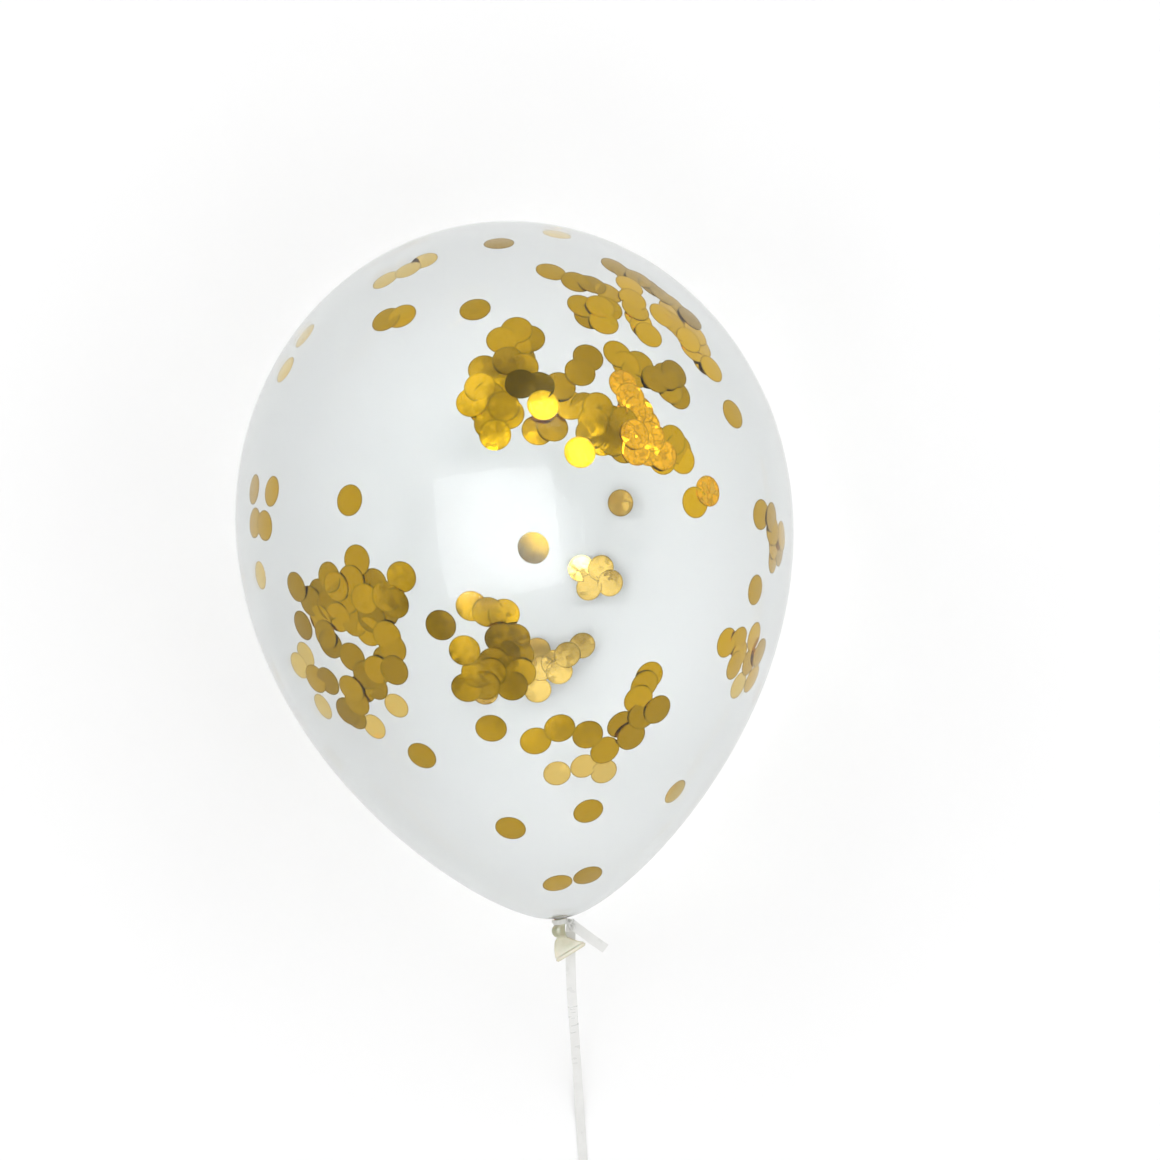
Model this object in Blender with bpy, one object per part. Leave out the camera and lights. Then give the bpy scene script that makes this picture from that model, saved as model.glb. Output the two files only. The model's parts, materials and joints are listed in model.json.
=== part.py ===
"""A clear latex party balloon, tied at the neck, with a curling ribbon that ends in a hand loop.

The balloon is a light thing that can't stand, so it lies on its side. The crown points along +Y
and the neck along -Y. A small flat spot under the widest girth keeps it from rolling, and the
origin is at the middle of that spot. Metres, +Z up.

The film is sealed, so its solid is full. The neck below it is drawn down to a stem, knotted once,
and flattened into a little fan with the rolled lip of the mouth along its edge. The ribbon is tied
round the stem, falls to the ground and runs along it to its loop.
"""

from collections import namedtuple
from math import cos, pi, radians, sin, sqrt

import bmesh
import bpy
from mathutils import Vector

# The blown-up body, measured from its widest girth.
BODY_RADIUS = 0.1405
CROWN_LENGTH = 0.152
TAPER_LENGTH = 0.2012
GIRTH_HANDLE = 0.116
SHOULDER_HANDLE = 0.032
SHOULDER_FILLET = 0.0010
FLAT_DEPTH = 0.0022
BODY_SIDES = 48
CROWN_RINGS = 14
TAPER_RINGS = 22

# The neck, in order from the body to the mouth.
STEM_RADIUS = 0.0026
STEM_LENGTH = 0.0034
KNOT_RADIUS = 0.0034
KNOT_LENGTH = 0.0064
KNOT_SHIFT = -0.0013
THROAT_HALF_WIDTH = 0.0031
FAN_LENGTH = 0.0088
FAN_HALF_THICKNESS = 0.0006
FAN_LEAN = radians(25)
LIP_HALF_WIDTH = 0.0086
LIP_THICKNESS = 0.0022

# The ribbon and how it is tied on.
RIBBON_WIDTH = 0.005
RIBBON_THICKNESS = 0.0008
CLEARANCE = 0.0003
TIE_LENGTH = 0.0020
TIE_THICKNESS = 0.0013
TIE_KNOT_HALF = (0.0024, 0.0034, 0.0040)
TIE_KNOT_SAG = 0.0014
TIE_SETBACK = 0.0008
TIE_SIDES = 20
END_LENGTH = 0.0215
END_ANGLE = radians(-43)
END_CURL = 0.0030

# The hand loop stands on the edge of its ribbon.
LOOP_LENGTH = 0.046
LOOP_WIDTH = 0.026
LOOP_KNOT_HALF = (0.0036, 0.0046, 0.0026)
LOOP_STEPS = 30

# The ribbon's way from the tie down to the ground and on to the loop, chosen by hand.
RIBBON_ROUTE = (
    (0.0046, -0.2095, 0.1320),
    (0.0037, -0.2180, 0.1317),
    (0.0028, -0.2260, 0.1300),
    (0.0021, -0.2340, 0.1262),
    (0.0015, -0.2415, 0.1200),
    (0.0011, -0.2480, 0.1110),
    (0.0007, -0.2535, 0.0995),
    (0.0003, -0.2585, 0.0865),
    (-0.0001, -0.2635, 0.0725),
    (-0.0005, -0.2690, 0.0585),
    (-0.0009, -0.2755, 0.0445),
    (-0.0015, -0.2835, 0.0315),
    (-0.0020, -0.2930, 0.0200),
    (-0.0026, -0.3040, 0.0110),
    (-0.0033, -0.3160, 0.0055),
    (-0.0039, -0.3290, 0.0030),
    (-0.0045, -0.3420, 0.0027),
    (-0.0050, -0.3540, 0.0027),
    (-0.0054, -0.3620, 0.0027),
)
ROUTE_STEPS = 2

# What follows from the values above.
AXIS_HEIGHT = BODY_RADIUS - FLAT_DEPTH
TIE_TOP = -(TAPER_LENGTH + TIE_SETBACK)
TIE_INNER_RADIUS = STEM_RADIUS + CLEARANCE
TIE_OUTER_RADIUS = TIE_INNER_RADIUS + TIE_THICKNESS
TIE_KNOT_CENTRE = Vector((
    TIE_INNER_RADIUS + CLEARANCE + TIE_KNOT_HALF[0],
    TIE_TOP - TIE_LENGTH - TIE_KNOT_HALF[1] / 3,
    AXIS_HEIGHT - TIE_KNOT_SAG,
))

# One cross-section of the balloon: an ellipse whose centre is (x, y) at the axis height.
Ring = namedtuple("Ring", "x y half_width half_depth lean")


def clear_scene():
    for obj in list(bpy.data.objects):
        bpy.data.objects.remove(obj, do_unlink=True)


def material(name, colour, roughness, alpha=1.0):
    mat = bpy.data.materials.new(name)
    mat.use_nodes = True
    shader = mat.node_tree.nodes["Principled BSDF"]
    shader.inputs["Base Color"].default_value = (*colour, 1.0)
    shader.inputs["Roughness"].default_value = roughness
    shader.inputs["Metallic"].default_value = 0.0
    shader.inputs["Alpha"].default_value = alpha
    return mat


def add_object(name, mesh, mat=None):
    obj = bpy.data.objects.new(name, mesh)
    bpy.context.scene.collection.objects.link(obj)
    if mat:
        mesh.materials.append(mat)
    return obj


def mesh_from(name, bm, smooth=True):
    bmesh.ops.recalc_face_normals(bm, faces=bm.faces)
    mesh = bpy.data.meshes.new(name)
    bm.to_mesh(mesh)
    bm.free()
    if smooth:
        mesh.shade_smooth()
        mesh.set_sharp_from_angle(angle=radians(40))
    return mesh


def loft(name, loops, smooth=True):
    """A closed solid through loops of points, all of one length. A loop of one point is a pole."""
    bm = bmesh.new()
    rows = [[bm.verts.new(point) for point in loop] for loop in loops]
    for near, far in zip(rows, rows[1:]):
        count = max(len(near), len(far))
        for i in range(count):
            j = (i + 1) % count
            corners = [near[i % len(near)], near[j % len(near)], far[j % len(far)], far[i % len(far)]]
            bm.faces.new(list(dict.fromkeys(corners)))
    for row in (rows[0], rows[-1]):
        if len(row) > 1:
            bm.faces.new(row)
    return mesh_from(name, bm, smooth)


def ellipsoid(name, centre, half):
    bm = bmesh.new()
    bmesh.ops.create_uvsphere(bm, u_segments=14, v_segments=10, radius=1.0)
    bmesh.ops.scale(bm, vec=Vector(half), verts=bm.verts)
    bmesh.ops.translate(bm, vec=Vector(centre), verts=bm.verts)
    return mesh_from(name, bm)


def rod(name, start, end, radius, sides=12):
    """A round rod with flat ends, from one point to another."""
    along = (Vector(end) - Vector(start)).normalized()
    side = along.cross(Vector((0, 0, 1))).normalized()
    up = side.cross(along)
    turns = [2 * pi * i / sides for i in range(sides)]
    circle = [radius * (side * cos(turn) + up * sin(turn)) for turn in turns]
    return loft(name, [[Vector(at) + offset for offset in circle] for at in (start, end)])


def boolean(obj, operation, other_mesh):
    """Adds or cuts a helper that stays out of the model."""
    helper = add_object("helper_" + other_mesh.name, other_mesh)
    helper.hide_render = True
    helper.display_type = "WIRE"
    modifier = obj.modifiers.new(other_mesh.name, "BOOLEAN")
    modifier.operation = operation
    modifier.object = helper


def bezier(a, b, c, d, t):
    return (1 - t) ** 3 * a + 3 * (1 - t) ** 2 * t * b + 3 * (1 - t) * t ** 2 * c + t ** 3 * d


def body_rings():
    """The crown is half an ellipse. The taper is one Bezier curve, blunt where it meets the stem."""
    profile = []
    for i in range(1, CROWN_RINGS):
        turn = pi / 2 * i / CROWN_RINGS
        profile.append((-CROWN_LENGTH * cos(turn), BODY_RADIUS * sin(turn)))
    for i in range(TAPER_RINGS + 1):
        t = i / TAPER_RINGS
        along = bezier(0.0, GIRTH_HANDLE, TAPER_LENGTH, TAPER_LENGTH, t)
        radius = bezier(BODY_RADIUS, BODY_RADIUS, SHOULDER_HANDLE, STEM_RADIUS + SHOULDER_FILLET, t)
        profile.append((along, radius))
    return [Ring(0.0, -along, radius, radius, 0.0) for along, radius in profile]


def neck_rings():
    """The neck is walked in short steps, each with its width, depth, lean and shift to the side."""
    steps = [
        (SHOULDER_FILLET / 3, STEM_RADIUS + SHOULDER_FILLET / 3, STEM_RADIUS + SHOULDER_FILLET / 3, 0.0, 0.0),
        (SHOULDER_FILLET * 2 / 3, STEM_RADIUS, STEM_RADIUS, 0.0, 0.0),
        (STEM_LENGTH - SHOULDER_FILLET, STEM_RADIUS, STEM_RADIUS, 0.0, 0.0),
    ]
    for share in (0.12, 0.3, 0.5, 0.7, 0.88, 1.0):
        bulge = sin(pi * share) ** 0.6 if share < 1 else 0.0
        half = STEM_RADIUS + (KNOT_RADIUS - STEM_RADIUS) * bulge
        steps.append((KNOT_LENGTH / 6, half, half, 0.0, KNOT_SHIFT * bulge))
    for share in (0.1, 0.35, 0.6, 0.85, 1.0):
        half_width = THROAT_HALF_WIDTH + (LIP_HALF_WIDTH - THROAT_HALF_WIDTH) * share * 0.94
        half_depth = FAN_HALF_THICKNESS + (STEM_RADIUS - FAN_HALF_THICKNESS) * (1 - share) ** 2
        steps.append((FAN_LENGTH / 5, half_width, half_depth, FAN_LEAN * share, 0.0))
    for turn in (30, 65, 90, 115, 150):
        half_depth = LIP_THICKNESS / 2 * sin(radians(turn)) + FAN_HALF_THICKNESS * cos(radians(turn)) ** 2
        half_width = LIP_HALF_WIDTH - LIP_THICKNESS / 3 * cos(radians(turn)) ** 2
        steps.append((LIP_THICKNESS / 5, half_width, half_depth, FAN_LEAN, 0.0))
    rings, x, y = [], 0.0, -TAPER_LENGTH
    for length, half_width, half_depth, lean, shift in steps:
        x += length * sin(lean)
        y -= length * cos(lean)
        rings.append(Ring(x + shift, y, half_width, half_depth, lean))
    return rings


def ring_points(ring):
    """An ellipse turned by its lean, with its width level and its depth upright."""
    points = []
    for i in range(BODY_SIDES):
        turn = 2 * pi * i / BODY_SIDES
        across = ring.half_width * cos(turn)
        x = ring.x + across * cos(ring.lean)
        y = ring.y + across * sin(ring.lean)
        points.append((x, y, AXIS_HEIGHT + ring.half_depth * sin(turn)))
    return points


def make_balloon():
    loops = [[(0.0, CROWN_LENGTH, AXIS_HEIGHT)]]
    loops += [ring_points(ring) for ring in body_rings() + neck_rings()]
    film = material("clear_latex", (0.80, 0.80, 0.78), 0.10, alpha=0.35)
    balloon = add_object("balloon", loft("balloon", loops), film)
    ground = bmesh.new()
    bmesh.ops.create_cube(ground, size=BODY_RADIUS)
    bmesh.ops.translate(ground, vec=(0, 0, -BODY_RADIUS / 2), verts=ground.verts)
    boolean(balloon, "DIFFERENCE", mesh_from("flat_spot", ground, smooth=False))


def make_tie():
    """A band round the stem, the knot beside it, the short free end and the lead to the ribbon."""
    bm = bmesh.new()
    profile = []
    for radius, y in (
        (TIE_INNER_RADIUS, TIE_TOP),
        (TIE_OUTER_RADIUS, TIE_TOP),
        (TIE_OUTER_RADIUS, TIE_TOP - TIE_LENGTH),
        (TIE_INNER_RADIUS, TIE_TOP - TIE_LENGTH),
    ):
        profile.append(bm.verts.new((radius, y, AXIS_HEIGHT)))
    edges = [bm.edges.new((profile[i], profile[(i + 1) % 4])) for i in range(4)]
    bmesh.ops.spin(
        bm, geom=profile + edges, cent=(0, 0, AXIS_HEIGHT), axis=(0, 1, 0),
        angle=2 * pi, steps=TIE_SIDES, use_merge=True,
    )
    bmesh.ops.remove_doubles(bm, verts=bm.verts, dist=1e-5)
    tie = add_object("ribbon_tie", mesh_from("ribbon_tie", bm), ribbon_material())
    boolean(tie, "UNION", ellipsoid("tie_knot", TIE_KNOT_CENTRE, TIE_KNOT_HALF))
    boolean(tie, "UNION", free_end())
    boolean(tie, "UNION", tie_lead())


def free_end():
    """The short end of the ribbon, which curls down and is cut off at a slant."""
    along = Vector((cos(END_ANGLE), sin(END_ANGLE), 0))
    across = Vector((-along.y, along.x, 0)) * RIBBON_WIDTH / 2
    half_up = Vector((0, 0, RIBBON_THICKNESS / 2))
    loops = []
    for share in (0.0, 0.25, 0.5, 0.75, 1.0):
        lift = END_CURL * (sin(pi * share) - share ** 2) / 2
        centre = TIE_KNOT_CENTRE + along * END_LENGTH * share + Vector((0, 0, lift))
        slant = along * RIBBON_WIDTH * 0.3 * share ** 4
        left, right = centre + across - slant, centre - across + slant
        loops.append([left + half_up, right + half_up, right - half_up, left - half_up])
    return loft("free_end", loops)


def tie_lead():
    """The stretch of ribbon under the tie's knot, which stops a gap short of the long ribbon."""
    start, after = Vector(RIBBON_ROUTE[0]), Vector(RIBBON_ROUTE[1])
    along = (after - start).normalized()
    end = start - along * CLEARANCE
    return rod("tie_lead", Vector((end.x, TIE_KNOT_CENTRE.y, end.z)), end, RIBBON_WIDTH / 2)


def smooth_route(points, steps):
    """Points on a Catmull-Rom curve through the route, with this many steps between two of them."""
    knots = [Vector(point) for point in points]
    knots = [2 * knots[0] - knots[1], *knots, 2 * knots[-1] - knots[-2]]
    route = []
    for a, b, c, d in zip(knots, knots[1:], knots[2:], knots[3:]):
        for i in range(steps):
            t = i / steps
            route.append(0.5 * (2 * b + (c - a) * t + (2 * a - 5 * b + 4 * c - d) * t ** 2
                                + (3 * b - a - 3 * c + d) * t ** 3))
    return route + [knots[-2]]


def ribbon_material():
    name = "curling_ribbon"
    return bpy.data.materials.get(name) or material(name, (0.86, 0.86, 0.85), 0.30)


def make_ribbon():
    """The long ribbon is a plain round cord of the ribbon's width."""
    route = smooth_route(RIBBON_ROUTE, ROUTE_STEPS)
    curve = bpy.data.curves.new("ribbon", "CURVE")
    curve.dimensions = "3D"
    curve.bevel_depth = RIBBON_WIDTH / 2
    curve.bevel_resolution = 2
    curve.use_fill_caps = True
    spline = curve.splines.new("POLY")
    spline.points.add(len(route) - 1)
    for point, place in zip(spline.points, route):
        point.co = (*place, 1.0)
    curve.materials.append(ribbon_material())
    ribbon = bpy.data.objects.new("ribbon", curve)
    bpy.context.scene.collection.objects.link(ribbon)


def loop_point(turn, offset):
    """A drop shape seen from above, from the knot out to the round end and back."""
    x = LOOP_WIDTH * 0.65 * sin(turn) * sin(turn / 2)
    y = -LOOP_LENGTH * (1 - cos(turn)) / 2
    dx = LOOP_WIDTH * 0.65 * (cos(turn) * sin(turn / 2) + sin(turn) * cos(turn / 2) / 2)
    dy = -LOOP_LENGTH * sin(turn) / 2
    length = sqrt(dx * dx + dy * dy)
    return x - offset * dy / length, y + offset * dx / length


def make_loop():
    """A knot past the ribbon's end, and the loop of ribbon that stands on its edge beyond it."""
    end, before = Vector(RIBBON_ROUTE[-1]), Vector(RIBBON_ROUTE[-2])
    along = (end - before).normalized()
    knot_centre = end + along * (CLEARANCE + LOOP_KNOT_HALF[1] + RIBBON_WIDTH / 2)
    loops = []
    opening = radians(12)
    for i in range(LOOP_STEPS + 1):
        turn = opening + (2 * pi - 2 * opening) * i / LOOP_STEPS
        outer = loop_point(turn, RIBBON_THICKNESS / 2)
        inner = loop_point(turn, -RIBBON_THICKNESS / 2)
        corners = ((outer, 0.0), (inner, 0.0), (inner, RIBBON_WIDTH), (outer, RIBBON_WIDTH))
        loops.append([(knot_centre.x + x, knot_centre.y + y, z + CLEARANCE / 3) for (x, y), z in corners])
    loop = add_object("ribbon_loop", loft("ribbon_loop", loops), ribbon_material())
    boolean(loop, "UNION", ellipsoid("loop_knot", knot_centre, LOOP_KNOT_HALF))
    boolean(loop, "UNION", rod("loop_lead", end + along * CLEARANCE, knot_centre, RIBBON_WIDTH / 2))


clear_scene()
make_balloon()
make_tie()
make_ribbon()
make_loop()
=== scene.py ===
# %% [markdown]
# # A clear party balloon full of gold confetti
#
# The real thing is a bag of clear latex, blown up to 28 cm, with a few hundred discs of gold foil
# inside that cling to its wall. Its neck is knotted and tied with a strip of curling ribbon. A
# balloon can't stand, so this one lies on its side and the camera looks down on it.
#
# The solids of the model are the frame here. This script never moves them. It measures them, makes
# fine meshes in their place and gives those the finish of latex, foil and ribbon.

# %% The frame
import json
import random
from math import atan2, cos, hypot, pi, radians, sin, sqrt

import bmesh
import bpy
from mathutils import Matrix, Vector

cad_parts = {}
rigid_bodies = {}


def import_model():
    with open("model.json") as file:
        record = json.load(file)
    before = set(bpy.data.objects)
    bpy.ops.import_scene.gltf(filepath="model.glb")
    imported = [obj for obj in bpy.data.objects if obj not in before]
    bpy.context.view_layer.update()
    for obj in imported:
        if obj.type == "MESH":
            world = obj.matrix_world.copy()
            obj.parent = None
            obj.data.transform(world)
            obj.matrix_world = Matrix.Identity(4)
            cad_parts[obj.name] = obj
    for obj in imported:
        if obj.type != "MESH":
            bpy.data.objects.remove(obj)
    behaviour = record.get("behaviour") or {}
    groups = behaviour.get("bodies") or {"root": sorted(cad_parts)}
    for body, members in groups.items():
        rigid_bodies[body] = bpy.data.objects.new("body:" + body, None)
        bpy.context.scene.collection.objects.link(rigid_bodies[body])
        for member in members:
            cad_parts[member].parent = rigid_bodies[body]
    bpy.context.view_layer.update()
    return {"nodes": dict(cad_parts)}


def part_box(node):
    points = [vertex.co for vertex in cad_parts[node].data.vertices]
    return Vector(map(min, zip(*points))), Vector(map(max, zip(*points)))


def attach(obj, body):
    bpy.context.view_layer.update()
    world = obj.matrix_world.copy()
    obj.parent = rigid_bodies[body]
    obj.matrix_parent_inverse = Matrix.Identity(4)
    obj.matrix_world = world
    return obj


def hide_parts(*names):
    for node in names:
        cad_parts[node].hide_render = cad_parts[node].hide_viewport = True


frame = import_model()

MM = 0.001
print("solids:", sorted(frame["nodes"]))

# %% [markdown]
# ## Sizes
#
# The body's radius, its height over the ground and its crown are read from the frame, so the film
# lies where the solid is. The neck's sizes are those of the solid's own neck.

# %% Sizes of the balloon
balloon_low, balloon_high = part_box("balloon")
BODY_RADIUS = (balloon_high.x - balloon_low.x) / 2
AXIS_HEIGHT = balloon_high.z - BODY_RADIUS
CROWN_LENGTH = balloon_high.y
TAPER_LENGTH = 201.2 * MM
GIRTH_HANDLE = 116 * MM
SHOULDER_HANDLE = 32 * MM
SHOULDER_FILLET = 1.0 * MM
STEM_RADIUS = 2.6 * MM
STEM_LENGTH = 3.4 * MM
KNOT_LENGTH = 6.4 * MM
print(f"body {2000 * BODY_RADIUS:.1f} mm across, its axis {1000 * AXIS_HEIGHT:.1f} mm up")

# %% [markdown]
# ## The camera
#
# The photograph shows the balloon upright with its lower part to the viewer. Lying down, that is a
# view from straight above. The picture is turned by the few degrees that the balloon leans, and
# the lens is set so that one pixel of the 1160 pixel frame is half a millimetre at the axis.

# %% Camera
EYE = Vector((0.0295, -0.0325, AXIS_HEIGHT + 1.5))
IMAGE_UP = Vector((0.1125, 0.99365, 0.0))
FRAME_WIDTH_AT_AXIS = 0.5873
SENSOR_WIDTH = 36.0

camera_data = bpy.data.cameras.new("camera")
camera_data.sensor_width = SENSOR_WIDTH
camera_data.lens = SENSOR_WIDTH * (EYE.z - AXIS_HEIGHT) / FRAME_WIDTH_AT_AXIS
camera = bpy.data.objects.new("camera", camera_data)
camera.location = EYE
camera.rotation_euler = (0.0, 0.0, -atan2(IMAGE_UP.x, IMAGE_UP.y))
bpy.context.scene.collection.objects.link(camera)
bpy.context.scene.camera = camera
print(f"lens {camera_data.lens:.1f} mm")

# %% [markdown]
# ## Two small helpers
#
# Colours are written as the hex values that a paint program shows. Blender works with linear
# light, so one function turns them. A second function adds a node to a tree, with its settings and
# its links. Every material and every Geometry Nodes tree below is made with it.


# %% Colours and nodes
def colour(hex_value):
    """An sRGB hex value as Blender's linear colour."""
    parts = [int(hex_value[i:i + 2], 16) / 255 for i in (1, 3, 5)]
    linear = [part / 12.92 if part <= 0.04045 else ((part + 0.055) / 1.055) ** 2.4 for part in parts]
    return (*linear, 1.0)


def add_node(tree, kind, inputs=None, **settings):
    """Adds a node. An input takes a plain value, an output, or a node for its first output in use."""
    node = tree.nodes.new(kind)
    for name, value in settings.items():
        setattr(node, name, value)
    for name, value in (inputs or {}).items():
        if isinstance(value, bpy.types.Node):
            value = next(output for output in value.outputs if output.enabled)
        if isinstance(value, bpy.types.NodeSocket):
            tree.links.new(value, node.inputs[name])
        else:
            node.inputs[name].default_value = value
    return node


print(f"half grey is {colour('#808080')[0]:.3f} in linear light")

# %% [markdown]
# ## Curling ribbon
#
# Curling ribbon is a thin strip of stretched polypropylene, 5 mm wide. Fine ribs run along it, so
# it catches the light in pale lines and looks a little pearly. It is white here. The ribs could be
# painted on with bump, but they also show at the strip's edge, so they are in its shape. The
# material adds the cloudiness of the plastic, 6 mm wide, and its grain. The real grain is too fine
# to show, so it is drawn 0.4 mm wide.

# %% Ribbon material
NOISE_SPAN = {"From Min": 0.35, "From Max": 0.65}


def new_material(name):
    """A material and its tree of nodes, emptied."""
    material = bpy.data.materials.new(name)
    material.use_nodes = True
    material.node_tree.nodes.clear()
    return material, material.node_tree


# Off-white and satin under a thin gloss. To the eye it is a pale strip, a little greyer than the
# ground, with a soft shine that is duller in some places than in others. The values of a noise
# texture lie mostly in NOISE_SPAN, and its scale is how many clouds fit in a metre.
def make_ribbon_material():
    """Ribbed polypropylene with a fine grain."""
    material, tree = new_material("pearly_polypropylene_ribbon")
    place = add_node(tree, "ShaderNodeTexCoord").outputs["Object"]
    cloud = add_node(tree, "ShaderNodeTexNoise", {"Vector": place, "Scale": 160.0})
    tint = add_node(tree, "ShaderNodeMix", {
        "Factor": cloud, "A": colour("#D8D8D5"), "B": colour("#E6E6E4"),
    }, data_type="RGBA")
    grain = add_node(tree, "ShaderNodeTexNoise", {"Vector": place, "Scale": 2400.0})
    bump = add_node(tree, "ShaderNodeBump", {"Height": grain, "Distance": 0.02 * MM})
    dull = add_node(tree, "ShaderNodeMapRange", {
        "Value": cloud, **NOISE_SPAN, "To Min": 0.27, "To Max": 0.41,
    })
    shader = add_node(tree, "ShaderNodeBsdfPrincipled", {
        "Base Color": tint, "Normal": bump, "Roughness": dull, "IOR": 1.49, "Coat Weight": 0.3,
        "Coat Roughness": 0.2,
    })
    add_node(tree, "ShaderNodeOutputMaterial", {"Surface": shader})
    return material


RIBBON = make_ribbon_material()
print("ribbon:", RIBBON.name)

# %% [markdown]
# A strip follows a path, so Geometry Nodes make it. A curve with a bevel could do that too, but the
# tree also takes a direction for each point, and ribs. The source mesh is a chain of edges along
# the path. Each of its points carries a direction, `across`, which says how the strip lies there.
# The tree turns the chain into a curve, gives the curve those directions as its normals, and sweeps
# a thin ribbed rectangle along it. The same tree makes every stretch of ribbon, flat or bunched up.

# %% The strip tree
OUTLINE_POINTS = 64


def new_tree(name, numbers):
    """A Geometry Nodes tree that takes a mesh and these numbers, and gives a mesh."""
    tree = bpy.data.node_groups.new(name, "GeometryNodeTree")
    tree.interface.new_socket("Geometry", in_out="INPUT", socket_type="NodeSocketGeometry")
    for number in numbers:
        tree.interface.new_socket(number, in_out="INPUT", socket_type="NodeSocketFloat")
    tree.interface.new_socket("Geometry", in_out="OUTPUT", socket_type="NodeSocketGeometry")
    return tree


def rib_lift(tree, pitch, depth):
    """How far the ribs push each point of the strip's outline out, as an offset."""
    place = add_node(tree, "GeometryNodeInputPosition")
    parts = add_node(tree, "ShaderNodeSeparateXYZ", {"Vector": place}).outputs
    side = add_node(tree, "ShaderNodeMath", {0: parts["Y"]}, operation="SIGN")
    lift = parts["X"]
    for operation, other in (
        ("DIVIDE", pitch), ("MULTIPLY", 2 * pi), ("COSINE", 0.0), ("MULTIPLY", depth), ("MULTIPLY", side),
    ):
        lift = add_node(tree, "ShaderNodeMath", {0: lift, 1: other}, operation=operation)
    return add_node(tree, "ShaderNodeCombineXYZ", {"Y": lift})


def make_strip_tree():
    """A ribbed strip along a chain of edges."""
    tree = new_tree("ribbed_strip", ("Width", "Thickness", "Rib Pitch", "Rib Depth"))
    given = add_node(tree, "NodeGroupInput").outputs
    line = add_node(tree, "GeometryNodeMeshToCurve", {"Mesh": given["Geometry"]})
    kind = "GeometryNodeInputNamedAttribute"
    across = add_node(tree, kind, {"Name": "across"}, data_type="FLOAT_VECTOR")
    turned = add_node(tree, "GeometryNodeSetCurveNormal", {"Curve": line, "Normal": across}, mode="FREE")
    outline = add_node(tree, "GeometryNodeCurvePrimitiveQuadrilateral", {
        "Width": given["Width"], "Height": given["Thickness"],
    })
    fine = add_node(tree, "GeometryNodeResampleCurve", {"Curve": outline, "Count": OUTLINE_POINTS})
    ribbed = add_node(tree, "GeometryNodeSetPosition", {
        "Geometry": fine, "Offset": rib_lift(tree, given["Rib Pitch"], given["Rib Depth"]),
    })
    strip = add_node(tree, "GeometryNodeCurveToMesh", {
        "Curve": turned, "Profile Curve": ribbed, "Fill Caps": True,
    })
    real = add_node(tree, "GeometryNodeRealizeInstances", {"Geometry": strip})
    finish = add_node(tree, "GeometryNodeSetMaterial", {"Geometry": real, "Material": RIBBON})
    add_node(tree, "NodeGroupOutput", {"Geometry": finish})
    return tree


STRIP_TREE = make_strip_tree()
print("strip tree:", len(STRIP_TREE.nodes), "nodes")

# %% Stretches of ribbon
RIBBON_WIDTH = 5.0 * MM
RIBBON_THICKNESS = 0.25 * MM
RIB_PITCH = 0.7 * MM
RIB_DEPTH = 0.04 * MM
RIBBON_SHARP_ANGLE = radians(50)


def add_object(name, mesh, material=None):
    """Puts a mesh in the scene."""
    obj = bpy.data.objects.new(name, mesh)
    bpy.context.scene.collection.objects.link(obj)
    if material:
        mesh.materials.append(material)
    return obj


def grown(source, tree, values):
    """The plain mesh that a tree makes of a source mesh. The source and its modifier go away."""
    host = add_object(source.name, source)
    modifier = host.modifiers.new(tree.name, "NODES")
    modifier.node_group = tree
    for item in tree.interface.items_tree:
        if item.in_out == "INPUT" and item.name in values:
            modifier[item.identifier] = values[item.name]
    depsgraph = bpy.context.evaluated_depsgraph_get()
    mesh = bpy.data.meshes.new_from_object(host.evaluated_get(depsgraph))
    bpy.data.objects.remove(host, do_unlink=True)
    bpy.data.meshes.remove(source)
    return mesh


def strip_mesh(places, across, width=RIBBON_WIDTH, thickness=RIBBON_THICKNESS, closed=False):
    """A strip along the places, with its width in the direction across."""
    chain = bpy.data.meshes.new("chain")
    edges = [(i, i + 1) for i in range(len(places) - 1)]
    if closed:
        edges.append((len(places) - 1, 0))
    chain.from_pydata([Vector(place) for place in places], edges, [])
    layer = chain.attributes.new("across", "FLOAT_VECTOR", "POINT")
    for item in layer.data:
        item.vector = Vector(across)
    bunched = width / RIBBON_WIDTH
    return grown(chain, STRIP_TREE, {
        "Width": width,
        "Thickness": thickness,
        "Rib Pitch": RIB_PITCH * bunched,
        "Rib Depth": RIB_DEPTH / bunched ** 0.5,
    })


def joined(name, strips):
    """One piece of ribbon from several strips."""
    bm = bmesh.new()
    for strip in strips:
        bm.from_mesh(strip)
        bpy.data.meshes.remove(strip)
    bmesh.ops.recalc_face_normals(bm, faces=bm.faces)
    mesh = bpy.data.meshes.new(name)
    bm.to_mesh(mesh)
    bm.free()
    mesh.shade_smooth()
    mesh.set_sharp_from_angle(angle=RIBBON_SHARP_ANGLE)
    return add_object(name, mesh, RIBBON)


print(f"{RIBBON_WIDTH / RIB_PITCH:.0f} ribs across the ribbon")

# %% [markdown]
# ## The long ribbon
#
# The route is the solid cord's own, from the tie down to the ground and on to the loop. That solid
# is as thick as the ribbon is wide. The strip is thin, so it sinks inside the solid on its way down
# until it lies on the ground.

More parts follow.
